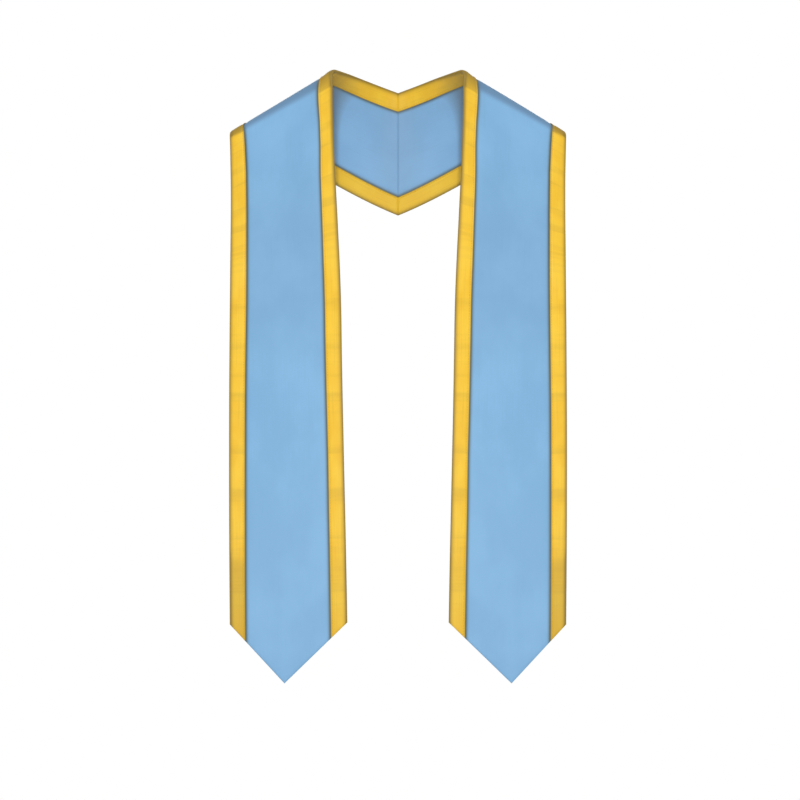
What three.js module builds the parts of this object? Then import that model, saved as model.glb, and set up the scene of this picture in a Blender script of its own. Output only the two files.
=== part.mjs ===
// A graduation stole: a satin band worn round the neck, with a pointed end on each front panel.
// Each half runs from the centre back seam, over the shoulder, to its point. A half is an outside
// face, an inside lining and two folded trims, one round each long edge.
// Millimetres. The origin is the top of the centre back seam, +Z is up and the front faces -Y.
// Left and right are as seen from the front, so the right half lies at +X.

import * as THREE from 'three';

// The band
const bandWidth = 116;          // cut width over the shoulders
const endWidth = 123.5;         // cut width at the corners of the pointed end
const clothThickness = 1;       // each layer of lined satin
const layerGap = 0.3;           // clearance between layers, and between the two halves
const faceTrimWidth = 17;       // width of the folded trims on the outside face
const liningTrimWidth = 19;     // and on the lining
const trimBevel = 0.7;          // softening of the trim's folded edge

// The back of the neck
const neckWidth = 135;          // between the highest points beside the neck
const neckReach = 62;           // from the back seam forward to the highest points
const neckRise = 20.5;          // from the top of the back seam up to the highest points
const mitreAngle = 29.5;        // each half is cut at this angle along the back seam
const seamLean = 10;            // the back seam runs down and away from the neck

// The shoulder line, where the band turns over from back to front
const shoulderSlope = 30.5;     // the fold falls towards the shoulder
const shoulderSweep = 6;        // and runs a little backwards
const foldSkew = 26;            // angle between the fold and a square cut across the band
const neckFoldRadius = 8;       // roundness of the fold beside the neck
const shoulderFoldRadius = 6;   // and at the shoulder's end

// The front panels
const panelFall = 585;          // from the highest points down to the corners of the end
const pointHeight = 65;         // from those corners down to the point
const pointShare = 0.535;       // place of the point across the panel, from its inner edge
const endSpacing = 106.5;       // between the inner corners of the two ends
const chestFall = 275;          // from the highest points down to the fullest part of the chest
const chestDepth = 95;          // from the shoulder line forward to the panels

// How the band leaves the seam, turns over the shoulder and lies on the chest, edge by edge.
// slopeAtSeam, foldStart and foldEnd are degrees; chestOut is a share of the way from the fold's
// end to the point's corner; chestForward and endForward are shares of chestDepth; chestRun and
// chestBack are the edge's sideways and backward run for each millimetre that it falls.
const edgeTable = [
  {
    edge: 'inner', seamShare: 0, foldShare: 0, foldRadius: neckFoldRadius, slopeAtSeam: 20,
    foldStart: 56, foldEnd: 151, chestOut: 0.58, chestForward: 1, endForward: 0.96,
    chestRun: -0.012, chestBack: -0.02, endRun: -0.014, endBack: 0.015,
  },
  {
    edge: 'outer', seamShare: 1, foldShare: 1, foldRadius: shoulderFoldRadius, slopeAtSeam: 22,
    foldStart: 50, foldEnd: 161, chestOut: 0.63, chestForward: 0.85, endForward: 0.96,
    chestRun: 0.007, chestBack: -0.06, endRun: -0.009, endBack: 0.015,
  },
];

// The stretches of the band, and how many sections each one takes
const stretches = [
  { stretch: 'back', sections: 8 },
  { stretch: 'fold', sections: 6 },
  { stretch: 'chest', sections: 8 },
  { stretch: 'hang', sections: 4 },
];

const radians = THREE.MathUtils.degToRad;
const right = new THREE.Vector3(1, 0, 0);

const satinBlue = new THREE.MeshStandardMaterial({ color: 0x83afd7, roughness: 0.45, metalness: 0 });
const liningBlue = new THREE.MeshStandardMaterial({ color: 0x7ea9d0, roughness: 0.5, metalness: 0 });
const satinGold = new THREE.MeshStandardMaterial({ color: 0xf6c948, roughness: 0.42, metalness: 0 });

function lengthwise(vector, length) {
  return vector.clone().normalize().multiplyScalar(length);
}

// A smooth curve from one point and heading to another
function curveBetween(start, startHeading, end, endHeading, share) {
  const span = start.distanceTo(end);
  const square = share * share;
  const cube = square * share;
  return new THREE.Vector3()
    .addScaledVector(start, 2 * cube - 3 * square + 1)
    .addScaledVector(lengthwise(startHeading, span), cube - 2 * square + share)
    .addScaledVector(end, 3 * square - 2 * cube)
    .addScaledVector(lengthwise(endHeading, span), cube - square);
}

// The shoulder line: a straight crest from beside the neck to the end of the shoulder
const crestLine = (() => {
  const slope = radians(shoulderSlope);
  const sweep = radians(shoulderSweep);
  const along = new THREE.Vector3(
    Math.cos(slope) * Math.cos(sweep),
    Math.cos(slope) * Math.sin(sweep),
    -Math.sin(slope),
  );
  const start = new THREE.Vector3(neckWidth / 2, -neckReach, neckRise);
  const length = bandWidth / Math.cos(radians(foldSkew));
  const backward = new THREE.Vector3(0, 1, 0).addScaledVector(along, -along.y).normalize();
  const upward = new THREE.Vector3().crossVectors(along, backward);
  return { start, along, length, backward, upward };
})();

// One edge of the right half: a function for each stretch, from a share of it to a point
function edgePaths(row) {
  const { start, along, length, backward, upward } = crestLine;
  const skew = Math.tan(radians(foldSkew));
  const crest = start.clone().addScaledVector(along, length * row.foldShare);

  const arcPoint = (angle) => crest.clone()
    .addScaledVector(upward, row.foldRadius * (Math.sin(angle) - 1))
    .addScaledVector(backward, row.foldRadius * Math.cos(angle))
    .addScaledVector(along, row.foldRadius * (angle - Math.PI / 2) * skew);
  const arcHeading = (angle) => new THREE.Vector3()
    .addScaledVector(upward, Math.cos(angle))
    .addScaledVector(backward, -Math.sin(angle))
    .addScaledVector(along, skew);

  const seamLength = bandWidth / Math.cos(radians(mitreAngle));
  const seam = new THREE.Vector3(
    layerGap / 2,
    seamLength * row.seamShare * Math.sin(radians(seamLean)),
    -seamLength * row.seamShare * Math.cos(radians(seamLean)),
  );
  const seamHeading = new THREE.Vector3(
    Math.cos(radians(row.slopeAtSeam)), 0, Math.sin(radians(row.slopeAtSeam)),
  );

  const foldStart = radians(row.foldStart);
  const foldEnd = radians(row.foldEnd);
  const corner = new THREE.Vector3(
    endSpacing / 2 + endWidth * row.foldShare,
    -neckReach - chestDepth * row.endForward,
    neckRise - panelFall,
  );
  const cornerHeading = new THREE.Vector3(row.endRun, row.endBack, -1);
  const chest = new THREE.Vector3(
    THREE.MathUtils.lerp(crest.x, corner.x, row.chestOut),
    -neckReach - chestDepth * row.chestForward,
    neckRise - chestFall,
  );
  const chestHeading = new THREE.Vector3(row.chestRun, row.chestBack, -1);
  const foldStartPoint = arcPoint(foldStart);
  const foldEndPoint = arcPoint(foldEnd);

  return {
    back: (share) => curveBetween(seam, seamHeading, foldStartPoint, arcHeading(foldStart), share),
    fold: (share) => arcPoint(THREE.MathUtils.lerp(foldStart, foldEnd, share)),
    chest: (share) => curveBetween(foldEndPoint, arcHeading(foldEnd), chest, chestHeading, share),
    hang: (share) => curveBetween(chest, chestHeading, corner, cornerHeading, share),
  };
}

// The sections of the right half, from the seam to the pointed end
function bandSections() {
  const [innerPaths, outerPaths] = edgeTable.map(edgePaths);
  const sections = [];
  for (const { stretch, sections: count } of stretches) {
    for (let step = 0; step < count; step += 1) {
      sections.push({
        inner: innerPaths[stretch](step / count),
        outer: outerPaths[stretch](step / count),
        pointed: 0,
      });
    }
  }
  sections.push({ inner: innerPaths.hang(1), outer: outerPaths.hang(1), pointed: 1 });

  sections.forEach((section, index) => {
    const before = sections[Math.max(index - 1, 0)];
    const after = sections[Math.min(index + 1, sections.length - 1)];
    section.innerHeading = after.inner.clone().sub(before.inner);
    section.outerHeading = after.outer.clone().sub(before.outer);
    const across = section.outer.clone().sub(section.inner);
    const heading = section.innerHeading.clone().add(section.outerHeading).normalize();
    section.width = new THREE.Vector3().crossVectors(heading, across).length();
  });
  // the first section lies in the plane of the back seam
  sections[0].innerHeading.copy(right);
  sections[0].outerHeading.copy(right);
  return sections;
}

// A point of the band: across is a distance from the inner edge, height stands out of the cloth
function bandPoint(section, across, height) {
  const share = across / section.width;
  const point = section.inner.clone().lerp(section.outer, share);
  const heading = section.innerHeading.clone().lerp(section.outerHeading, share);
  const acrossBand = section.outer.clone().sub(section.inner);
  const outward = heading.cross(acrossBand).normalize();
  const pointFall = share < pointShare ? share / pointShare : (1 - share) / (1 - pointShare);
  point.z -= section.pointed * pointHeight * pointFall;
  return point.addScaledVector(outward, height);
}

// A wall swept along the band. Its section is a row of pairs, one point on each side of the wall,
// and each point has a share of the band's width, an offset from there and a height.
function sweptWall(name, sections, pairs, material, side) {
  const ring = [...pairs.map((pair) => pair[0]), ...pairs.map((pair) => pair[1]).reverse()];
  const positions = [];
  for (const section of sections) {
    for (const { share, offset, height } of ring) {
      const point = bandPoint(section, share * section.width + offset, height);
      positions.push(side * point.x, point.y, point.z);
    }
  }

  const indices = [];
  const addTriangle = (a, b, c) => indices.push(...(side > 0 ? [a, c, b] : [a, b, c]));
  const addQuad = (a, b, c, d) => {
    addTriangle(a, b, c);
    addTriangle(a, c, d);
  };
  const count = ring.length;
  const distanceAcross = ({ share, offset }) => share * bandWidth + offset;
  for (let row = 0; row < sections.length - 1; row += 1) {
    for (let column = 0; column < count; column += 1) {
      const next = (column + 1) % count;
      const here = row * count;
      const below = here + count;
      const corners = [here + column, below + column, below + next, here + next];
      // every wall splits along the same diagonal of the band, so that the layers stay parallel
      if (distanceAcross(ring[next]) < distanceAcross(ring[column])) corners.push(corners.shift());
      addQuad(...corners);
    }
  }
  const last = (sections.length - 1) * count;
  for (let column = 0; column < pairs.length - 1; column += 1) {
    const facing = count - 1 - column;
    addQuad(column, column + 1, facing - 1, facing);
    addQuad(last + column, last + facing, last + facing - 1, last + column + 1);
  }

  const geometry = new THREE.BufferGeometry();
  geometry.setAttribute('position', new THREE.Float32BufferAttribute(positions, 3));
  geometry.setIndex(indices);
  geometry.computeVertexNormals();
  const mesh = new THREE.Mesh(geometry, material);
  mesh.name = name;
  return mesh;
}

// One layer of cloth, from inside the inner trim's fold to inside the outer trim's fold
function layerPairs(lower, upper) {
  const inset = clothThickness + layerGap;
  const lines = [
    { share: 0, offset: inset },
    { share: 0, offset: faceTrimWidth },
    { share: pointShare, offset: 0 },
    { share: 1, offset: -faceTrimWidth },
    { share: 1, offset: -inset },
  ];
  return lines.map((line) => [{ ...line, height: lower }, { ...line, height: upper }]);
}

// A trim folded round one edge: it lies on the face, wraps the edge and lies on the lining
function trimPairs(share, inward) {
  const clothTop = layerGap / 2 + clothThickness;
  const insideHeight = clothTop + layerGap;
  const outsideHeight = insideHeight + clothThickness;
  const halfSection = (width, layer) => {
    const at = (distance, height) => ({ share, offset: inward * distance, height: layer * height });
    return [
      [at(width, outsideHeight), at(width, insideHeight)],
      [at(trimBevel, outsideHeight), at(clothThickness, insideHeight)],
      [at(0, outsideHeight - trimBevel), at(clothThickness, insideHeight - layerGap / 2)],
    ];
  };
  return [...halfSection(faceTrimWidth, 1), ...halfSection(liningTrimWidth, -1).reverse()];
}

const sections = bandSections();
const faceLower = layerGap / 2;
const faceUpper = faceLower + clothThickness;
const stole = new THREE.Group();

for (const [sideName, side] of [['left', -1], ['right', 1]]) {
  const innerTrim = trimPairs(0, 1);
  const outerTrim = trimPairs(1, -1).reverse();
  stole.add(
    sweptWall(`face_${sideName}`, sections, layerPairs(faceLower, faceUpper), satinBlue, side),
    sweptWall(`lining_${sideName}`, sections, layerPairs(-faceUpper, -faceLower), liningBlue, side),
    sweptWall(`neck_trim_${sideName}`, sections, innerTrim, satinGold, side),
    sweptWall(`outer_trim_${sideName}`, sections, outerTrim, satinGold, side),
  );
}

export default stole;
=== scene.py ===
import math
import bmesh
import bpy
import numpy as np
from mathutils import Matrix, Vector


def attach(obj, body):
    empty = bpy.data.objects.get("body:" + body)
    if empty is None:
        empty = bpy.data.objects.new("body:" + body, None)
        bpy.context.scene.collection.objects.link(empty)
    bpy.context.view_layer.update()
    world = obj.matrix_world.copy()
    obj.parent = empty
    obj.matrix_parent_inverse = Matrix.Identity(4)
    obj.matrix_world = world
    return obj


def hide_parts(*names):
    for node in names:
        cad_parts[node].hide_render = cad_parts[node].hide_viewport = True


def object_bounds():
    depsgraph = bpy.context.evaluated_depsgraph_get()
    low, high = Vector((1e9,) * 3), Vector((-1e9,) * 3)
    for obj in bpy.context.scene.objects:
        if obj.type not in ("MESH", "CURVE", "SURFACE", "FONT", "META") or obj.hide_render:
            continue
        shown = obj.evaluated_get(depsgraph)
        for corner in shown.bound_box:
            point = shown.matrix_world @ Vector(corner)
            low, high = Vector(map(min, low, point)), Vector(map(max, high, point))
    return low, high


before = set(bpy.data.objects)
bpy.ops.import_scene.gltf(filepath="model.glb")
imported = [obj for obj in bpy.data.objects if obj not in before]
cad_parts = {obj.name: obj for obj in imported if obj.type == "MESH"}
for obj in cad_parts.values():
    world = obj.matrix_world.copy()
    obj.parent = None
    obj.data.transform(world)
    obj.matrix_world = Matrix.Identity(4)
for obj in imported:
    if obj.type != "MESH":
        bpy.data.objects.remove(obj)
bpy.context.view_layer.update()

mm = 0.001

print("frame loaded:", ", ".join(sorted(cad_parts)))

# The band's path, in millimetres and degrees. The solids follow it too, but their outer corner is 2 mm
# higher and their point 2 mm taller.
band = {
    "bandWidth": 116.0,
    "endWidth": 123.5,
    "faceTrimWidth": 17.0,
    "liningTrimWidth": 19.0,
    "neckWidth": 135.0,
    "neckReach": 62.0,
    "neckRise": 20.5,
    "mitreAngle": 29.5,
    "seamLean": 10.0,
    "shoulderSlope": 30.5,
    "shoulderSweep": 6.0,
    "foldSkew": 26.0,
    "panelFall": 585.0,
    "pointHeight": 63.0,
    "pointShare": 0.535,
    "endSpacing": 106.5,
    "chestFall": 275.0,
    "chestDepth": 95.0,
    "squareReach": 6.0,     # how far from the back seam the sections square up to it
}
# One table for each long edge: its start at the seam, its fold over the shoulder and its way down
innerEdge = {
    "seamShare": 0, "foldRadius": 8.0, "slopeAtSeam": 20, "foldStart": 56, "foldEnd": 151,
    "chestOut": 0.58, "chestForward": 1.0, "endForward": 0.96,
    "chestHeading": (-0.012, -0.02, -1), "endHeading": (-0.014, 0.015, -1), "cornerDrop": 0.0,
}
outerEdge = {
    "seamShare": 1, "foldRadius": 6.0, "slopeAtSeam": 22, "foldStart": 50, "foldEnd": 161,
    "chestOut": 0.63, "chestForward": 0.85, "endForward": 0.96,
    "chestHeading": (0.007, -0.06, -1), "endHeading": (-0.009, 0.015, -1), "cornerDrop": 2.1,
}
fineness = {
    "back": 90,             # sections on each stretch of the band
    "backStart": 0.055,     # share of the back where the even sections begin
    "fold": 26,
    "chest": 130,
    "hang": 140,
    "hemGap": 0.006,        # share between the last even section and the hem's own
    "pointRows": 0.32,      # share of the hanging stretch whose rows lean into the point
    "crestShare": 0.36,     # place of the shoulder's crest in the fold
    # closer sections beside the back seam and the hem
    "seamShares": (0, 0.003, 0.007, 0.013, 0.020, 0.030, 0.042),
    "hemShares": (0.0085, 0.0055, 0.0033, 0.0016, 0.0006, 0),
}


def unitRows(rows):
    return rows / np.linalg.norm(rows, axis=-1, keepdims=True)


def curveBetween(start, startHeading, end, endHeading, shares):
    # a smooth curve that leaves its start and reaches its end along the given directions
    span = np.linalg.norm(end - start)
    t = shares[:, None]
    return (
        start * (2 * t**3 - 3 * t**2 + 1)
        + unitRows(startHeading) * span * (t**3 - 2 * t**2 + t)
        + end * (3 * t**2 - 2 * t**3)
        + unitRows(endHeading) * span * (t**3 - t**2)
    )


def stretchShares():
    seam = np.array(fineness["seamShares"])
    back = np.linspace(fineness["backStart"], 1, fineness["back"], endpoint=False)
    hem = 1 - np.array(fineness["hemShares"])
    hang = np.linspace(0, hem[0] - fineness["hemGap"], fineness["hang"])
    return {
        "back": np.concatenate([seam, back]),
        "fold": np.linspace(0, 1, fineness["fold"], endpoint=False),
        "chest": np.linspace(0, 1, fineness["chest"], endpoint=False),
        "hang": np.concatenate([hang, hem]),
    }


def edgePoints(edge, shares):
    # one long edge from the back seam over the shoulder's fold and the chest to the hem
    slope = math.radians(band["shoulderSlope"])
    sweep = math.radians(band["shoulderSweep"])
    skew = math.tan(math.radians(band["foldSkew"]))
    lean = math.radians(band["seamLean"])
    level = math.cos(slope)
    along = np.array([level * math.cos(sweep), level * math.sin(sweep), -math.sin(slope)])
    crestLength = band["bandWidth"] / math.cos(math.radians(band["foldSkew"]))
    backward = unitRows(np.array([0, 1, 0]) - along * along[1])
    upward = np.cross(along, backward)
    crest = np.array([band["neckWidth"] / 2, -band["neckReach"], band["neckRise"]])
    crest = crest + along * crestLength * edge["seamShare"]
    radius = edge["foldRadius"]

    def arc(angle):
        angle = np.atleast_1d(angle)[:, None]
        return (
            crest + upward * radius * (np.sin(angle) - 1) + backward * radius * np.cos(angle)
            + along * radius * (angle - math.pi / 2) * skew
        )

    def arcHeading(angle):
        return upward * math.cos(angle) - backward * math.sin(angle) + along * skew

    def forward(share):
        return -band["neckReach"] - band["chestDepth"] * share

    seamLength = band["bandWidth"] / math.cos(math.radians(band["mitreAngle"])) * edge["seamShare"]
    seam = np.array([0.0, seamLength * math.sin(lean), -seamLength * math.cos(lean)])
    rise = math.radians(edge["slopeAtSeam"])
    seamHeading = np.array([math.cos(rise), 0, math.sin(rise)])
    start, end = math.radians(edge["foldStart"]), math.radians(edge["foldEnd"])
    corner = np.array([
        band["endSpacing"] / 2 + band["endWidth"] * edge["seamShare"],
        forward(edge["endForward"]),
        band["neckRise"] - band["panelFall"] - edge["cornerDrop"],
    ])
    chest = np.array([
        crest[0] + (corner[0] - crest[0]) * edge["chestOut"],
        forward(edge["chestForward"]),
        band["neckRise"] - band["chestFall"],
    ])
    chestHeading = np.array(edge["chestHeading"], float)
    endHeading = np.array(edge["endHeading"], float)
    return np.concatenate([
        curveBetween(seam, seamHeading, arc(start)[0], arcHeading(start), shares["back"]),
        arc(start + (end - start) * shares["fold"]),
        curveBetween(arc(end)[0], arcHeading(end), chest, chestHeading, shares["chest"]),
        curveBetween(chest, chestHeading, corner, endHeading, shares["hang"]),
    ])


def headings(points):
    # the direction of travel at each section, from its neighbours
    ahead = np.concatenate([points[1:], points[-1:]])
    behind = np.concatenate([points[:1], points[:-1]])
    return unitRows(ahead - behind)


farAway = 1000.0        # distance to the hem for sections that don't hang


def makeBandLine():
    # both edges with what is measured along them, one entry for each section
    shares = stretchShares()
    line = {"inner": edgePoints(innerEdge, shares), "outer": edgePoints(outerEdge, shares)}
    line["innerHeading"] = headings(line["inner"])
    line["outerHeading"] = headings(line["outer"])
    sideways = np.array([1.0, 0, 0])
    closeness = np.exp(-line["inner"][:, :1] / band["squareReach"])
    for name in ("innerHeading", "outerHeading"):
        line[name] = unitRows(line[name] * (1 - closeness) + sideways * closeness)
    across = line["outer"] - line["inner"]
    middle = (line["inner"] + line["outer"]) / 2
    line["width"] = np.linalg.norm(np.cross(headings(middle), across), axis=1)
    line["width"][:2] = line["width"][2]        # the first sections are too close together to measure
    steps = np.linalg.norm(np.diff(middle, axis=0), axis=1)
    line["along"] = np.concatenate([[0], np.cumsum(steps)])
    crest = len(shares["back"]) + round(fineness["crestShare"] * len(shares["fold"]))
    line["fromCrest"] = line["along"] - line["along"][crest]
    hang = shares["hang"]
    lean = np.clip((hang - 1 + fineness["pointRows"]) / fineness["pointRows"], 0, 1)
    line["pointed"] = np.concatenate([np.zeros(len(middle) - len(hang)), lean])
    hangLength = band["panelFall"] - band["chestFall"]
    line["endNear"] = np.concatenate([np.full(len(middle) - len(hang), farAway), (1 - hang) * hangLength])
    return line


bandLine = makeBandLine()
pinch = {"share": 0.55, "reach": 1.3, "hemRate": 1.4}   # the layers draw together at the seam and the hem


def bandRow(across, height):
    # points of one lengthwise row of the right half, their outward direction and their place on the cloth
    line = bandLine
    share = (across / line["width"])[:, None]
    point = line["inner"] * (1 - share) + line["outer"] * share
    heading = line["innerHeading"] * (1 - share) + line["outerHeading"] * share
    outward = unitRows(np.cross(heading, line["outer"] - line["inner"]))
    tip = band["pointShare"]
    fall = np.where(share < tip, share / tip, (1 - share) / (1 - tip))[:, 0]
    fall = fall * line["pointed"] * band["pointHeight"]
    point[:, 2] -= fall
    nearSeam = np.exp(-point[:, 0] / pinch["reach"])
    nearHem = np.exp(-line["endNear"] / pinch["reach"] * pinch["hemRate"])
    flatten = (1 - pinch["share"] * nearSeam) * (1 - pinch["share"] * nearHem)
    point = point + outward * (height * flatten)[:, None]
    place = np.stack([across, line["along"] + fall], axis=1)
    return point, outward, place


def smoothStep(value):
    # rises smoothly from 0 to 1 as the value does
    value = np.clip(value, 0, 1)
    return value * value * (3 - 2 * value)


# Node trees

class Wire:
    # a socket that can be added, subtracted, multiplied and divided
    def __init__(self, tree, socket):
        self.tree = tree
        self.socket = socket

    def maths(self, operation, first, second):
        node = self.tree.nodes.new("ShaderNodeMath")
        node.operation = operation
        for slot, value in enumerate((first, second)):
            if isinstance(value, Wire):
                self.tree.links.new(value.socket, node.inputs[slot])
            else:
                node.inputs[slot].default_value = value
        return Wire(self.tree, node.outputs[0])

    def beside(self, output):
        # another output of the same node
        return Wire(self.tree, self.socket.node.outputs[output])

    def __add__(self, other):
        return self.maths("ADD", self, other)

    def __sub__(self, other):
        return self.maths("SUBTRACT", self, other)

    def __rsub__(self, other):
        return self.maths("SUBTRACT", other, self)

    def __mul__(self, other):
        return self.maths("MULTIPLY", self, other)

    def __truediv__(self, other):
        return self.maths("DIVIDE", self, other)

    __radd__ = __add__
    __rmul__ = __mul__


class NodeDesk:
    # adds any other node from its type, its settings and the values or wires of its sockets
    def __init__(self, tree):
        self.tree = tree

    def add(self, kind, settings=None, sockets=None, output=0):
        node = self.tree.nodes.new(kind)
        for name, value in (settings or {}).items():
            setattr(node, name, value)
        for name, value in (sockets or {}).items():
            if isinstance(value, Wire):
                self.tree.links.new(value.socket, node.inputs[name])
            else:
                node.inputs[name].default_value = value
        return Wire(self.tree, node.outputs[output]) if len(node.outputs) else None


def linearColour(red, green, blue):
    # a screen colour of 0 to 255 as the linear colour that the nodes take
    channels = [value / 255 for value in (red, green, blue)]
    return tuple(c / 12.92 if c <= 0.04045 else ((c + 0.055) / 1.055) ** 2.4 for c in channels) + (1.0,)


def ramp(wire, amount, low, high):
    # nothing below the low level, rising smoothly to the amount at the high one
    return NodeDesk(wire.tree).add("ShaderNodeMapRange", {"interpolation_type": "SMOOTHSTEP"}, {
        "Value": wire, "From Min": low, "From Max": high, "To Min": 0, "To Max": amount,
    })


def mixColours(desk, factor, first, second):
    # 6 and 7 are the mix node's colour inputs, and 2 is its colour output
    return desk.add("ShaderNodeMix", {"data_type": "RGBA"}, {0: factor, 6: first, 7: second}, 2)


# Satin: soft mottling, bands of painted shade from soft creases, threads, streaks and slubs, with painted
# shade in the ditch beside a trim and on the shoulder's crest, the seams, the hems, the chest and the
# hollow.
# Sizes are in metres, a place picks a part of the noise, and an amount is the most that a layer mixes in.

satinBlue = {
    "colour": (125, 177, 219), "light": (133, 185, 227), "shade": (92, 124, 156), "ditchShade": (84, 98, 92),
    "roughness": 0.46, "specular": 0.5, "sheen": 0.12,
    "mottle": {"across": 0.055, "along": 0.0825, "place": 0.0, "amount": 1},
    "creaseShadeBands": {"across": 0.2, "along": 0.5, "place": 7.3, "amount": 0.0},
    "threads": {"across": 0.00030, "along": 0.0016, "place": 3.1, "amount": 0.16},
    "streaks": {"across": 0.0011, "along": 0.06, "place": 5.9, "amount": 0.04},
    "slubs": {"across": 0.004, "along": 0.00045, "place": 11.7, "amount": 0.04},
}
# a lighter copy of the blue satin: painted light to make up for the shade inside the back, with a greyer
# painted shade colour
satinLiningLit = {
    **satinBlue,
    "colour": (133, 182, 226), "light": (140, 190, 234), "shade": (86, 94, 98),
}
satinGold = {
    **satinBlue,
    "colour": (247, 196, 43), "light": (253, 206, 56), "shade": (150, 122, 38), "ditchShade": (112, 104, 50),
    "roughness": 0.44, "specular": 0.38, "sheen": 0.06,
    "mottle": {"across": 0.03, "along": 0.045, "place": 0.0, "amount": 1},
    # painted shade of soft creases, in bands across the trim
    "creaseShadeBands": {"across": 0.2, "along": 0.017, "place": 2.6, "amount": 0.17},
    "threads": {"across": 0.00032, "along": 0.0018, "place": 3.1, "amount": 0.16},
    "streaks": {"across": 0.0011, "along": 0.06, "place": 5.9, "amount": 0.10},
}
# How each layer is drawn, in the order in which they are mixed: the noise shows between low and high
layerNoise = {
    "mottle": {"detail": 4.0, "rough": 0.5, "low": 0.35, "high": 0.68, "tint": "light"},
    "creaseShadeBands": {"detail": 3.0, "rough": 0.6, "low": 0.5, "high": 0.68, "tint": "shade"},
    "threads": {"detail": 2.0, "rough": 0.6, "low": 0.45, "high": 0.75, "tint": "light"},
    "streaks": {"detail": 2.0, "rough": 0.6, "low": 0.5, "high": 0.7, "tint": "shade"},
    "slubs": {"detail": 2.0, "rough": 0.5, "low": 0.55, "high": 0.75, "tint": "shade"},
}
weaveRelief = {"threads": 0.35, "slubs": 0.25, "strength": 0.35, "depth": 0.00012}
weaveGloss = {"threads": 0.10, "mottle": 0.06, "mean": 0.08}       # how the roughness varies about its mean
threadGold = {
    "colour": (236, 188, 52), "shade": (196, 150, 40), "roughness": 0.5, "specular": 0.5, "sheen": 0.1,
    "twist": 0.0007, "detail": 2.0, "low": 0.3, "high": 0.7, "strength": 0.5, "depth": 0.0001, "gloss": 0.1,
}
sheenRoughness = 0.35


def newMaterial(name):
    material = bpy.data.materials.new(name)
    material.use_nodes = True
    material.node_tree.nodes.clear()
    return material, NodeDesk(material.node_tree)


def finishMaterial(desk, look, colour, roughness, normal):
    shader = desk.add("ShaderNodeBsdfPrincipled", {}, {
        "Base Color": colour, "Roughness": roughness, "Normal": normal,
        "Sheen Weight": look["sheen"], "Sheen Roughness": sheenRoughness,
        "Specular IOR Level": look["specular"],
    })
    desk.add("ShaderNodeOutputMaterial", {}, {"Surface": shader})


def satinMaterial(name, look):
    material, desk = newMaterial(name)
    cloth = desk.add("ShaderNodeUVMap", {"uv_map": "cloth"})
    across = desk.add("ShaderNodeSeparateXYZ", {}, {"Vector": cloth})
    along = across.beside(1)

    def makeLayer(key):
        size, noise = look[key], layerNoise[key]
        place = desk.add("ShaderNodeCombineXYZ", {}, {
            "X": across / size["across"] + size["place"], "Y": along / size["along"], "Z": size["place"],
        })
        return desk.add("ShaderNodeTexNoise", {}, {
            "Vector": place, "Scale": 1.0, "Detail": noise["detail"], "Roughness": noise["rough"],
        })

    layers = {key: makeLayer(key) for key in layerNoise}
    colour = linearColour(*look["colour"])
    for key, noise in layerNoise.items():
        share = ramp(layers[key], look[key]["amount"], noise["low"], noise["high"])
        colour = mixColours(desk, share, colour, linearColour(*look[noise["tint"]]))
    # painted shade and darkening are mixed in with the shade colour, and painted shade in the ditch with the
    # ditch colour
    for mask, tint in (("paintedShadeAndDarkening", "shade"), ("ditchShade", "ditchShade")):
        painted = desk.add("ShaderNodeAttribute", {"attribute_name": mask}, {}, 2)
        colour = mixColours(desk, painted, colour, linearColour(*look[tint]))

    relief = layers["threads"] * weaveRelief["threads"] + layers["slubs"] * weaveRelief["slubs"]
    normal = desk.add("ShaderNodeBump", {}, {
        "Height": relief, "Strength": weaveRelief["strength"], "Distance": weaveRelief["depth"],
    })
    varied = layers["threads"] * weaveGloss["threads"] + layers["mottle"] * weaveGloss["mottle"]
    finishMaterial(desk, look, colour, varied + (look["roughness"] - weaveGloss["mean"]), normal)
    return material


def threadMaterial(name, look):
    material, desk = newMaterial(name)
    place = desk.add("ShaderNodeTexCoord", {}, {}, 3)
    twist = desk.add("ShaderNodeTexNoise", {}, {
        "Vector": place, "Scale": 1 / look["twist"], "Detail": look["detail"],
    })
    share = ramp(twist, 1, look["low"], look["high"])
    colour = mixColours(desk, share, linearColour(*look["colour"]), linearColour(*look["shade"]))
    normal = desk.add("ShaderNodeBump", {}, {
        "Height": twist, "Strength": look["strength"], "Distance": look["depth"],
    })
    finishMaterial(desk, look, colour, twist * look["gloss"] + look["roughness"], normal)
    return material


blueCloth = satinMaterial("satinBlue", satinBlue)
liningClothLit = satinMaterial("satinLiningLit", satinLiningLit)
goldCloth = satinMaterial("satinGold", satinGold)
goldThread = threadMaterial("threadGold", threadGold)
print("satin and thread made")


# The ripple of lined satin, the same for every layer of one half

ripple = {
    "undulation": 1.1, "undulationLength": 95.0,    # broad waves, in millimetres
    "crinkle": 0.28, "crinkleLength": 24.0,         # small creases on the trims
    "pucker": 0.22, "puckerLength": 6.5,            # puckers drawn in by the stitching
}
rippleForm = {          # the mask that each follows, how much longer it is across, and its detail
    "undulation": {"mask": "calm", "stretch": 1.3, "detail": 1.0},
    "crinkle": {"mask": "crinkled", "stretch": 2.0, "detail": 2.0},
    "pucker": {"mask": "puckered", "stretch": 4.0, "detail": 1.0},
}
calmReach = 40.0        # distance from the back seam over which the broad waves fade
steadyReach = 8.0       # and the small creases


def startTree(name, values):
    # a geometry tree with a named input for each value, and the wires of all its inputs
    tree = bpy.data.node_groups.new(name, "GeometryNodeTree")
    tree.interface.new_socket(name="Geometry", in_out="INPUT", socket_type="NodeSocketGeometry")
    for key, value in values.items():
        socket = tree.interface.new_socket(name=key, in_out="INPUT", socket_type="NodeSocketFloat")
        socket.default_value = value
    tree.interface.new_socket(name="material", in_out="INPUT", socket_type="NodeSocketMaterial")
    tree.interface.new_socket(name="Geometry", in_out="OUTPUT", socket_type="NodeSocketGeometry")
    desk = NodeDesk(tree)
    outputs = desk.add("NodeGroupInput").socket.node.outputs
    return desk, {socket.name: Wire(tree, socket) for socket in outputs if socket.name}


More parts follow.
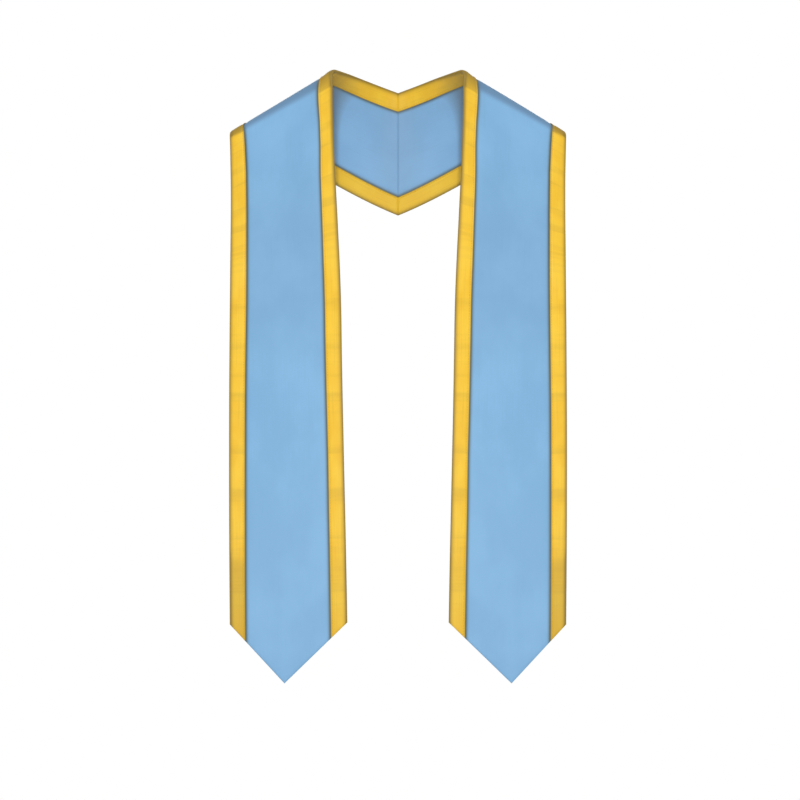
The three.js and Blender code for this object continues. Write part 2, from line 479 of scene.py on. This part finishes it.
def endTree(desk, geometry, material):
    real = desk.add("GeometryNodeRealizeInstances", {}, {"Geometry": geometry})
    smooth = desk.add("GeometryNodeSetShadeSmooth", {}, {"Geometry": real})
    dressed = desk.add("GeometryNodeSetMaterial", {}, {"Geometry": smooth, "Material": material})
    desk.add("NodeGroupOutput", {}, {"Geometry": dressed})
    return desk.tree


def rippleTree():
    lengths = {name: value * mm for name, value in ripple.items()}
    desk, wires = startTree("clothRipple", {**lengths, "seed": 0.0})

    def attribute(name, kind):
        return desk.add("GeometryNodeInputNamedAttribute", {"data_type": kind}, {"Name": name})

    across = desk.add("ShaderNodeSeparateXYZ", {}, {"Vector": attribute("place", "FLOAT_VECTOR")})
    along = across.beside(1)

    def wave(size, stretch, detail):
        place = desk.add("ShaderNodeCombineXYZ", {}, {
            "X": across / (size * stretch), "Y": along / size, "Z": wires["seed"],
        })
        return desk.add("ShaderNodeTexNoise", {}, {"Vector": place, "Scale": 1.0, "Detail": detail}) - 0.5

    height = 0.0
    for name, form in rippleForm.items():
        swing = wave(wires[name + "Length"], form["stretch"], form["detail"])
        height = swing * wires[name] * 2 * attribute(form["mask"], "FLOAT") + height
    push = desk.add("ShaderNodeVectorMath", {"operation": "SCALE"}, {
        "Vector": attribute("outward", "FLOAT_VECTOR"), "Scale": height,
    })
    moved = desk.add("GeometryNodeSetPosition", {}, {"Geometry": wires["Geometry"], "Offset": push})
    return endTree(desk, moved, wires["material"])


def runTree(piece, tree, values):
    # runs a tree on a piece and keeps the result as the piece's own plain mesh
    modifier = piece.modifiers.new("nodes", "NODES")
    modifier.node_group = tree
    for item in tree.interface.items_tree:
        if item.item_type == "SOCKET" and item.in_out == "INPUT" and item.name in values:
            modifier[item.identifier] = values[item.name]
    bpy.context.view_layer.update()
    result = bpy.data.meshes.new_from_object(piece.evaluated_get(bpy.context.evaluated_depsgraph_get()))
    piece.modifiers.clear()
    piece.data = result
    result.name = piece.name


clothRipple = rippleTree()
halfSeeds = {-1: 4.7, 1: 19.2}          # the left half and the right one


def addPiece(name, mesh):
    piece = bpy.data.objects.new(name, mesh)
    bpy.context.scene.collection.objects.link(piece)
    return piece


def setPointValues(mesh, name, kind, values):
    # keeps one value or direction for each of the mesh's points
    field = "vector" if kind == "FLOAT_VECTOR" else "value"
    attribute = mesh.attributes.new(name, kind, "POINT")
    attribute.data.foreach_set(field, np.ascontiguousarray(values, dtype=np.float32).ravel())


def calmness(point, reach):
    # 0 at the back seam, where the waves stop, and 1 from the reach on
    return smoothStep(point[..., 0] / reach)


# Painted shade, where the cloth is darker: on the shoulder's crest, beside the seams and at the hems

crestPaintedShade = {           # painted shade on the shoulder's crest: it holds for its reach past the crest and ends softly, and fades at once behind it
    "gold": {"reach": 20.5, "narrowing": 10.3, "soft": 1.8, "dark": 0.95, "fade": 0.60, "behind": 9.0},
    "blue": {"reach": 15.0, "narrowing": 6.0, "soft": 8.0, "dark": 0.72, "fade": 0.0, "behind": 9.0},
    "lining": {"reach": 8.0, "narrowing": 0.0, "soft": 14.0, "dark": 0.75, "fade": 0.0, "behind": 16.0},
    "outerEase": 0.65,      # how much less it fades at the outer edge
}
seamShade = {"seam": 0.07, "seamReach": 0.9, "hem": 0.25, "hemReach": 1.1}
hollowShade = {"dark": 0.14, "reach": 26.0}     # the lining's middle, in the hollow behind the neck
chestShade = {"dark": 0.17, "place": 195.0, "reach": 100.0}     # the face turns down a little over the chest
napeShade = {
    "start": 69.6, "lean": 0.04,            # where the cloth passes behind the front trim
    "reach": 3.0, "topReach": 15.0, "widest": 30.0, "fall": 21.0, "from": 29.0,     # wider towards the top
    "dark": 0.80, "fallDark": 0.004,        # and paler towards the bottom
    "beyond": 15.0, "deep": 0.4,            # further out it eases to this share
    "behind": 12.0,                         # and it comes in over this distance behind the crest
}


def crestShade(kind, across):
    # painted shade where the top of the fold faces away from the front light
    look = crestPaintedShade[kind]
    fromCrest = bandLine["fromCrest"][:, None]
    share = across / bandLine["width"][:, None]
    reach = look["reach"] - look["narrowing"] * share
    front = 1 - smoothStep((fromCrest - reach) / look["soft"] + 0.5)
    fade = 1 - look["fade"] * (1 - crestPaintedShade["outerEase"] * share) * np.clip(fromCrest / reach, 0, 1)
    behind = smoothStep(1 + fromCrest / look["behind"])
    return look["dark"] * front * fade * behind


def lineShade(point):
    # the thin dark lines of the back seam and the hem
    seam = seamShade["seam"] * np.exp(-((point[..., 0] / seamShade["seamReach"]) ** 2))
    hem = seamShade["hem"] * np.exp(-bandLine["endNear"] / seamShade["hemReach"])
    return seam + hem[:, None]


def innerShade(point, across):
    # the shadow on the lining side where it turns away behind the neck
    look = napeShade
    down = across - look["from"]
    reach = np.minimum(look["reach"] + look["topReach"] * np.exp(-down / look["fall"]), look["widest"])
    away = look["start"] - look["lean"] * down - point[..., 0]
    dark = look["dark"] - look["fallDark"] * np.maximum(down, 0)
    beyond = look["deep"] + (1 - look["deep"]) * np.exp(away / look["beyond"])
    near = np.where(away > 0, 1 - away / reach, beyond)
    behind = smoothStep(-bandLine["fromCrest"] / look["behind"])[:, None]
    return dark * np.clip(near, 0, 1) * behind


# all the painted shade of a cloth: on the crest, along the seam and hem, the lining's shadow, over the chest
# and in the hollow
def paintedShadeMask(kind, point, across, liningSide):
    paintedShadeAndDarkening = crestShade(kind, across) + lineShade(point) + innerShade(point, across) * liningSide
    if kind == "blue":
        past = (bandLine["fromCrest"] - chestShade["place"]) / chestShade["reach"]
        paintedShadeAndDarkening = paintedShadeAndDarkening + chestShade["dark"] * np.exp(-(past**2))[:, None]
    if kind == "lining":
        paintedShadeAndDarkening = paintedShadeAndDarkening + hollowShade["dark"] * np.exp(-((point[..., 0] / hollowShade["reach"]) ** 2))
    return paintedShadeAndDarkening


# A cloth is woven from lengthwise rows, each with its distance across, its height and its masks

def clothFaces(sections, count, kind):
    # quads round the cloth, and its two ends
    index = np.arange(sections * count).reshape(sections, count)
    around = np.roll(index, -1, axis=1)
    quads = np.stack([index[:-1], index[1:], around[1:], around[:-1]], axis=-1).reshape(-1, 4)
    faces = quads.tolist()
    for end in (index[0], index[-1]):
        if kind == "gold":
            faces.append(end.tolist())
        else:
            half = count // 2
            faces += [[end[i], end[i + 1], end[count - 2 - i], end[count - 1 - i]] for i in range(half - 1)]
    return faces


def layUv(mesh, girth, along):
    vertexUv = np.stack([girth * mm, along * mm], axis=-1).reshape(-1, 2)
    corners = np.zeros(len(mesh.loops), dtype=np.int32)
    mesh.loops.foreach_get("vertex_index", corners)
    uv = mesh.uv_layers.new(name="cloth")
    uv.data.foreach_set("uv", vertexUv[corners].astype(np.float32).ravel())


def smoothShell(mesh):
    shell = bmesh.new()
    shell.from_mesh(mesh)
    bmesh.ops.recalc_face_normals(shell, faces=shell.faces)
    bmesh.ops.triangulate(shell, faces=[face for face in shell.faces if len(face.verts) > 4])
    for face in shell.faces:
        face.smooth = True
    shell.to_mesh(mesh)
    shell.free()


def weaveCloth(name, side, rows, kind, material):
    # side is 1 for the right half and -1 for the left
    placed = [bandRow(row["across"], row["height"]) for row in rows]
    point, outward, place = (np.stack(values, axis=1) for values in zip(*placed))
    sections, count = point.shape[:2]

    def spread(key):
        return np.stack([np.broadcast_to(row.get(key, 0.0), sections) for row in rows], axis=1)

    steady = calmness(point, steadyReach)
    liningSide = np.array([row["height"][0] < 0 for row in rows])
    # painted shade, with the painted shade beside the trims, on the folded edges and the darker stretch
    # above the hem
    paintedShadeAndDarkening = paintedShadeMask(kind, point, place[..., 0], liningSide) + spread("extraDarkening")
    masks = {
        "calm": calmness(point, calmReach),
        "paintedShadeAndDarkening": np.clip(paintedShadeAndDarkening, 0, 1),
        "ditchShade": spread("ditchShade"),
        "crinkled": spread("crinkled") * steady,
        "puckered": spread("puckered") * steady,
    }
    flip = np.array([side, 1, 1])
    mesh = bpy.data.meshes.new(name)
    mesh.from_pydata((point * flip * mm).reshape(-1, 3).tolist(), [], clothFaces(sections, count, kind))
    setPointValues(mesh, "outward", "FLOAT_VECTOR", outward * flip)
    flatPlace = np.concatenate([place * mm, np.zeros((sections, count, 1))], axis=-1)
    setPointValues(mesh, "place", "FLOAT_VECTOR", flatPlace)
    for key, values in masks.items():
        setPointValues(mesh, key, "FLOAT", values)
    layUv(mesh, spread("girth"), place[..., 1])
    smoothShell(mesh)

    piece = addPiece(name, mesh)
    runTree(piece, clothRipple, {"seed": halfSeeds[side], "material": material})
    for helper in ("outward", "place", "calm", "crinkled", "puckered"):
        piece.data.attributes.remove(piece.data.attributes[helper])
    return piece


# Width of the trims on the face, by the distance past the shoulder's crest

faceTrims = {
    "neck": {
        "past": (-20, 0, 6, 16, 28, 50, 75, 110, 200, 260, 400, 460),
        "width": (16.4, 13.7, 15.2, 16.4, 16.2, 15.1, 14.9, 16.0, 17.2, 17.4, 16.8, 17.3),
    },
    "outer": {
        "past": (-14, 4, 16, 33, 65, 120, 236, 343, 540),
        "width": (16.5, 15.7, 16.5, 17.4, 18.3, 18.3, 17.8, 17.1, 16.6),
    },
}


crestDitch = {"neck": 0.3, "outer": 0.7, "reach": 9.0}     # how far the ditch fades on the shoulder's crest


def ditchFade(edge):
    # edge is neck or outer
    near = np.exp(-((bandLine["fromCrest"] / crestDitch["reach"]) ** 2))
    return 1 - crestDitch[edge] * near


def trimReach(edge, layer):
    # the trim's width at each section, on the face for layer 1 and on the lining for layer -1
    fromCrest = bandLine["fromCrest"]
    if layer < 0:
        return np.full_like(fromCrest, band["liningTrimWidth"])
    table = faceTrims[edge]
    return np.interp(fromCrest, table["past"], table["width"])


# The two layers of each half

panel = {
    "inset": 1.0,           # how far the cloth stops inside the trim's fold
    "low": 0.50,            # the face's height under the trim
    "high": 1.00,           # and where it swells between the trims
    "inside": 0.15,         # height of the side that lies on the other layer
    "swell": 7.0,           # how far from the trim the swelling takes
    "middleRows": 30,
    "margin": 27.0,         # from the edge to the evenly spaced rows
    "underTrim": (0.4, 0.72, 0.9),                              # shares of the trim's width
    "besideTrim": (-0.7, 0.0, 0.6, 1.3, 2.1, 3.1, 4.3, 6.0),    # and distances from its border
    "ditchDark": {1: 0.95, -1: 0.8},    # painted shade in the ditch, on the face and on the lining
    "ditchReach": 1.9,
    "ditchPlace": 0.4,      # its darkest line, from the trim's border
    "puckerReach": 9.0,
    "crestDark": 0.55,      # softer shade beside the neck trim below the crest
    "crestPlace": 18.0,
    "crestLength": 28.0,
    "crestReach": 3.2,
}


def panelRows(layer):
    # layer is 1 for the face and -1 for the lining
    width = bandLine["width"]
    margin = panel["margin"]
    tip = (band["pointShare"] * band["endWidth"] - margin) / (band["endWidth"] - 2 * margin)
    half = panel["middleRows"] // 2
    middle = np.concatenate([np.linspace(0, tip, half), np.linspace(tip, 1, half)[1:]])
    reaches = trimReach("neck", layer), trimReach("outer", layer)
    near = [
        [np.full_like(width, panel["inset"])]
        + [reach * share for share in panel["underTrim"]]
        + [reach + offset for offset in panel["besideTrim"]]
        for reach in reaches
    ]
    across = near[0]
    across += [margin + share * (width - 2 * margin) for share in middle]
    across += [width - line for line in reversed(near[1])]
    outside, inside = [], []
    for line in across:
        fromNeck, fromOuter = line - reaches[0], width - line - reaches[1]
        fromTrim = np.minimum(fromNeck, fromOuter)
        rise = smoothStep(fromTrim / panel["swell"])
        height = panel["low"] + (panel["high"] - panel["low"]) * rise
        # painted shade in the groove beside the trim
        ditchShade = np.exp(-(((fromTrim - panel["ditchPlace"]) / panel["ditchReach"]) ** 2))
        if layer > 0:
            ditchShade = ditchShade * np.where(fromNeck < fromOuter, ditchFade("neck"), ditchFade("outer"))
        pucker = np.where(fromTrim > 0, np.exp(-fromTrim / panel["puckerReach"]), 0.0)
        # painted shade beside the neck trim below the crest
        shade = np.exp(-((bandLine["fromCrest"] - panel["crestPlace"]) / panel["crestLength"]) ** 2)
        shade *= panel["crestDark"] * np.exp(-np.abs(line - reaches[0]) / panel["crestReach"])
        outside.append({
            "across": line, "height": layer * height, "girth": line,
            "ditchShade": ditchShade * panel["ditchDark"][layer], "extraDarkening": shade * (layer > 0), "puckered": pucker,
        })
        inside.append({"across": line, "height": np.full_like(line, layer * panel["inside"]), "girth": line})
    return outside + inside[::-1]


# The folded trims

trim = {
    "thickness": 0.5,
    "rest": 0.72,           # height of the trim's inner side, just over the cloth
    "crown": 0.30,          # how far it swells between its fold and its stitching
    "roll": 0.42,           # radius of the turned border
    "stitchInset": 1.9,     # from the border to the stitching
    "stitchDip": 0.28,      # how far the stitching draws the trim in
    "stitchReach": 0.8,
    "borderLift": 0.22,     # the ridge between the stitching and the border
    "liftReach": 0.7,
    "crownPower": 0.8,      # below 1, the crown is flatter on top
    "outsideRows": 16,
    "stitchRows": (0.9, 1.3, 1.9, 2.5, 3.2),    # closer rows, by their distance from the border
    "rollAngles": (-60, -30, 0, 30, 60),        # the rows round the border and the fold, in degrees
    "foldAngles": (75, 60, 45, 30, 15),
    "insideRows": (12.0, 6.0),      # distances from the edge
    "insideBend": 0.71,     # share of the inner radius halfway round the fold
    "puff": 0.95,           # how far the neck trim stands up on the shoulder's crest
    "puffReach": 11.0,
    "puffPower": 0.55,      # below 1, the swell lies nearer the fold
    "shownHeight": 0.1,     # rows that stand this far above the cloth are outside ones
    "borderDark": 0.75,     # painted shade on the border beside the ditch
    "borderReach": 0.8,
    "edgeDark": 1.0,        # and on the folded edge, where it turns away from the light
    "edgeReach": 2.7,
    "endDark": {"outer": 0.34, "neck": 0.10},   # darker towards the hem
    "endLength": 81.0,
    "endSoft": 18.0,
    "easeFrom": 2.0,        # the width is eased in from here on
    "easeSpare": 6.0,       # over the trim's width less this
    "hiddenCrinkle": 0.35,  # of the rows that don't show
    "puckerReach": 3.5,
}


trimFold = trim["rest"] + trim["thickness"]       # also the height of the trim's outside at the fold


def trimFlange():
    # the outside of the trim from its border to its fold, as distance from the edge and height
    reach = band["faceTrimWidth"]
    distances = np.linspace(reach - trim["roll"], trimFold, trim["outsideRows"])
    distances = np.unique(np.concatenate([distances, reach - np.array(trim["stitchRows"])]))[::-1]
    share = np.clip((distances - trimFold) / (reach - trimFold), 0, 1)
    stitched = (distances - (reach - trim["stitchInset"])) / trim["stitchReach"]
    lifted = (distances - reach + trim["roll"]) / trim["liftReach"]
    heights = trimFold + trim["crown"] * np.sin(np.pi * share) ** trim["crownPower"]
    heights += trim["borderLift"] * np.exp(-(lifted**2)) - trim["stitchDip"] * np.exp(-(stitched**2))
    return list(zip(distances, heights))


def trimProfile():
    # the whole section of a folded trim, half of its outside and half of its inside
    rest = trim["rest"]
    flange = trimFlange()
    border, top = flange[0]
    middle, radius = (top + rest) / 2, (top - rest) / 2
    turns, bends = np.radians(trim["rollAngles"]), np.radians(trim["foldAngles"])
    rolled = [(border + radius * math.cos(turn), middle + radius * math.sin(turn)) for turn in turns]
    folded = [(trimFold * (1 - math.cos(bend)), trimFold * math.sin(bend)) for bend in bends]
    outer = [(border, rest)] + rolled + flange + folded + [(0.0, 0.0)]
    inner = [(distance, rest) for distance in trim["insideRows"] + (trimFold,)]
    inner += [(trimFold - rest * trim["insideBend"], rest * trim["insideBend"]), (trimFold - rest, 0.0)]
    return outer, inner


def fitTrim(distance, height, edge):
    # places one row of the trim's section across the band, with the width and the puff that it has there
    reach = band["faceTrimWidth"]
    layer = 1 if height > 0 else -1
    spare = trimReach(edge, layer) - reach
    share = min(max((distance - trim["easeFrom"]) / (reach - trim["easeSpare"]), 0), 1)
    local = distance + spare * share
    across = bandLine["width"] - local if edge == "outer" else local
    raised = np.full_like(across, height)
    if edge == "neck" and height > trim["rest"] + trim["shownHeight"]:
        swell = math.sin(math.pi * min(max(distance / reach, 0), 1) ** trim["puffPower"]) ** 2
        raised += trim["puff"] * swell * np.exp(-((bandLine["fromCrest"] / trim["puffReach"]) ** 2))
    return across, raised


def trimRows(edge):
    outer, inner = trimProfile()
    lower = [(distance, -height) for distance, height in reversed(outer[:-1])]
    loop = outer + lower + [(distance, -height) for distance, height in inner[:-1]] + inner[::-1]
    reach = band["faceTrimWidth"]
    # the trim is darker towards the hem
    darkerNearHem = trim["endDark"][edge] * smoothStep((trim["endLength"] - bandLine["endNear"]) / trim["endSoft"])
    rows = []
    girth = 0.0
    before = loop[0]
    for distance, height in loop:
        girth += math.dist(before, (distance, height))
        before = (distance, height)
        across, raised = fitTrim(distance, height, edge)
        shown = abs(height) > trim["rest"] + trim["shownHeight"]
        # painted shade on the border beside the ditch and on the folded edge
        borderDark = trim["borderDark"] * (ditchFade(edge) if height > 0 else 1.0)
        edgeDark = trim["edgeDark"] * math.exp(-((distance / trim["edgeReach"]) ** 2))
        fromStitch = abs(distance - (reach - trim["stitchInset"]))
        rows.append({
            "across": across, "height": raised, "girth": girth,
            "ditchShade": borderDark * math.exp(-(((reach - distance) / trim["borderReach"]) ** 2)),
            "extraDarkening": edgeDark + darkerNearHem * (height > 0),
            "crinkled": 1.0 if shown else trim["hiddenCrinkle"],
            "puckered": math.exp(-fromStitch / trim["puckerReach"]) if shown else 0.0,
        })
    return rows


for sideName, side in (("left", -1), ("right", 1)):
    for name, layer, node, kind, material in (
        ("facePanel", 1, "face", "blue", blueCloth),
        ("liningPanel", -1, "lining", "lining", liningClothLit),
    ):
        piece = weaveCloth(f"{name}_{sideName}", side, panelRows(layer), kind, material)
        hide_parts(f"{node}_{sideName}")
        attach(piece, "root")
        "satin_blue" if layer > 0 else "lining_blue"
print("panels made")


# Stitching along the trims' borders, on both sides of the cloth

stitching = {"pitch": 2.8, "length": 2.1, "thread": 0.36, "rise": 0.24, "sink": 0.14}
stitchedSections = slice(4, -5)         # the stitches stop just before the back seam and the hem
stitchFineness = {"bow": 5, "ring": 6}


def stitchTree():
    desk, wires = startTree("stitchRow", {name: value * mm for name, value in stitching.items()})

    def corner(x, z):
        return desk.add("ShaderNodeCombineXYZ", {}, {"X": x, "Y": 0.0, "Z": z})

    half = wires["length"] * 0.5
    sunk = wires["sink"] * -1
    bow = desk.add("GeometryNodeCurveQuadraticBezier", {}, {
        "Resolution": stitchFineness["bow"],
        "Start": corner(half * -1, sunk),
        "Middle": corner(0.0, wires["rise"] * 2),
        "End": corner(half, sunk),
    })
    ring = desk.add("GeometryNodeCurvePrimitiveCircle", {}, {
        "Resolution": stitchFineness["ring"], "Radius": wires["thread"] * 0.5,
    })
    stitch = desk.add("GeometryNodeCurveToMesh", {}, {
        "Curve": bow, "Profile Curve": ring, "Fill Caps": True,
    })

    seam = desk.add("GeometryNodeMeshToCurve", {}, {"Mesh": wires["Geometry"]})
    spaced = desk.add("GeometryNodeResampleCurve", {"mode": "LENGTH"}, {
        "Curve": seam, "Length": wires["pitch"],
    })
    tangent = desk.add("GeometryNodeInputTangent")
    outward = desk.add("GeometryNodeInputNamedAttribute", {"data_type": "FLOAT_VECTOR"}, {"Name": "outward"})
    turned = desk.add("FunctionNodeAlignRotationToVector", {"axis": "X"}, {"Vector": tangent})
    stood = desk.add("FunctionNodeAlignRotationToVector", {"axis": "Z", "pivot_axis": "X"}, {
        "Rotation": turned, "Vector": outward,
    })
    placed = desk.add("GeometryNodeInstanceOnPoints", {}, {
        "Points": spaced, "Instance": stitch, "Rotation": stood,
    })
    return endTree(desk, placed, wires["material"])


stitchRow = stitchTree()


def stitchHeight(inset):
    distances, heights = zip(*trimFlange()[::-1])
    return float(np.interp(inset, distances, heights))


def sewTrim(name, side, edge):
    # one polyline on each side of the cloth, rippled with the cloth and then stitched
    inset = band["faceTrimWidth"] - trim["stitchInset"]
    points, outwards, places, edges = [], [], [], []
    for layer in (1, -1):
        across, height = fitTrim(inset, layer * stitchHeight(inset), edge)
        point, outward, place = (values[stitchedSections] for values in bandRow(across, height))
        start = sum(len(row) for row in points)
        edges += [(start + i, start + i + 1) for i in range(len(point) - 1)]
        points.append(point)
        outwards.append(outward)
        places.append(place)
    point, outward, place = np.concatenate(points), np.concatenate(outwards), np.concatenate(places) * mm
    facing = np.concatenate([outwards[0], -outwards[1]])
    flip = np.array([side, 1, 1])
    mesh = bpy.data.meshes.new(name)
    mesh.from_pydata((point * flip * mm).tolist(), edges, [])
    setPointValues(mesh, "place", "FLOAT_VECTOR", np.concatenate([place, np.zeros((len(place), 1))], axis=1))
    setPointValues(mesh, "outward", "FLOAT_VECTOR", outward * flip)
    setPointValues(mesh, "facing", "FLOAT_VECTOR", facing * flip)
    setPointValues(mesh, "calm", "FLOAT", calmness(point, calmReach))
    for mask in ("crinkled", "puckered"):
        setPointValues(mesh, mask, "FLOAT", calmness(point, steadyReach))
    piece = addPiece(name, mesh)
    runTree(piece, clothRipple, {"seed": halfSeeds[side], "material": goldThread})
    # the stitches stand away from the cloth on both of its sides
    attributes = piece.data.attributes
    away = np.zeros(len(piece.data.vertices) * 3, dtype=np.float32)
    attributes["facing"].data.foreach_get("vector", away)
    attributes["outward"].data.foreach_set("vector", away)
    runTree(piece, stitchRow, {"material": goldThread})
    return piece


for sideName, side in (("left", -1), ("right", 1)):
    for edge, edgeLength in (("neck", 0.705), ("outer", 0.765)):
        piece = weaveCloth(f"{edge}Trim_{sideName}", side, trimRows(edge), "gold", goldCloth)
        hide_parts(f"{edge}_trim_{sideName}")
        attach(piece, "root")
        stitches = sewTrim(f"{edge}TrimStitches_{sideName}", side, edge)
        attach(stitches, "root")
print("trims sewn on")


# A pale floor, soft studio light and the camera

studio = {
    "floorDrop": 0.24, "floorSize": 3.0, "roomLight": 0.66, "backdropLight": 1.0,
    "cameraDistance": 6.0, "frameWidth": 0.8536, "axisDrop": 0.3308, "axisOut": 0.0021,
    "sensorWidth": 36.0, "farthest": 50.0, "lampAim": (0, -0.06, -0.28),
}
white = (1, 1, 1, 1)
floorPaint = {
    "colour": (0.86, 0.86, 0.86, 1), "roughness": 0.6, "gloss": 0.1, "specular": 0.5, "sheen": 0.0,
    "grain": 6.0, "detail": 3.0, "amount": 0.05, "strength": 0.05, "depth": 0.001,
}
lamps = (
    {"name": "keyLight", "place": (0, -3.2, 2.8), "size": (0.5, 1.8), "power": 46},
    {"name": "fillLight", "place": (0, -4.2, -1.1), "size": (0.5, 1.8), "power": 27},
    {"name": "rearLight", "place": (0, 2.8, 0.3), "size": (2.0, 2.0), "power": 34},
)


def addFloor():
    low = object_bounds()[0].z - studio["floorDrop"]
    half = studio["floorSize"] / 2
    corners = [(x * half, y * half, low) for x, y in ((-1, -1), (1, -1), (1, 1), (-1, 1))]
    mesh = bpy.data.meshes.new("floor")
    mesh.from_pydata(corners, [], [(0, 1, 2, 3)])
    floor = addPiece("floor", mesh)
    material, desk = newMaterial("floorPaint")
    look = floorPaint
    place = desk.add("ShaderNodeTexCoord", {}, {}, 3)
    grain = desk.add("ShaderNodeTexNoise", {}, {
        "Vector": place, "Scale": look["grain"], "Detail": look["detail"],
    })
    colour = mixColours(desk, grain * look["amount"], look["colour"], white)
    normal = desk.add("ShaderNodeBump", {}, {
        "Height": grain, "Strength": look["strength"], "Distance": look["depth"],
    })
    finishMaterial(desk, look, colour, grain * look["gloss"] + look["roughness"], normal)
    mesh.materials.append(material)


def addLamp(lamp):
    data = bpy.data.lights.new(lamp["name"], "AREA")
    data.shape = "RECTANGLE"
    data.size, data.size_y = lamp["size"]
    data.energy = lamp["power"]
    lampObject = addPiece(lamp["name"], data)
    lampObject.location = lamp["place"]
    aim = Vector(studio["lampAim"]) - Vector(lamp["place"])
    lampObject.rotation_euler = aim.to_track_quat("-Z", "Y").to_euler()


def addRoom():
    world = bpy.data.worlds.new("studioRoom")
    world.use_nodes = True
    world.node_tree.nodes.clear()
    desk = NodeDesk(world.node_tree)
    # the backdrop that is seen is brighter than the light that it gives
    room = desk.add("ShaderNodeBackground", {}, {"Color": white, "Strength": studio["roomLight"]})
    backdrop = desk.add("ShaderNodeBackground", {}, {"Color": white, "Strength": studio["backdropLight"]})
    seen = desk.add("ShaderNodeLightPath")
    mixed = desk.add("ShaderNodeMixShader", {}, {0: seen, 1: room, 2: backdrop})
    desk.add("ShaderNodeOutputWorld", {}, {"Surface": mixed})
    bpy.context.scene.world = world


def addCamera():
    # straight in front and far away, with a long lens
    data = bpy.data.cameras.new("camera")
    camera = addPiece("camera", data)
    distance = studio["cameraDistance"]
    data.sensor_width = studio["sensorWidth"]
    data.lens = data.sensor_width * distance / studio["frameWidth"]
    data.clip_end = studio["farthest"]
    camera.location = (studio["axisOut"], -distance - band["neckReach"] * mm, -studio["axisDrop"])
    camera.rotation_euler = (math.radians(90), 0, 0)
    bpy.context.scene.camera = camera


addFloor()
for lamp in lamps:
    addLamp(lamp)
addRoom()
addCamera()
bpy.context.scene.view_settings.view_transform = "Standard"
bpy.context.view_layer.update()
print("studio ready")
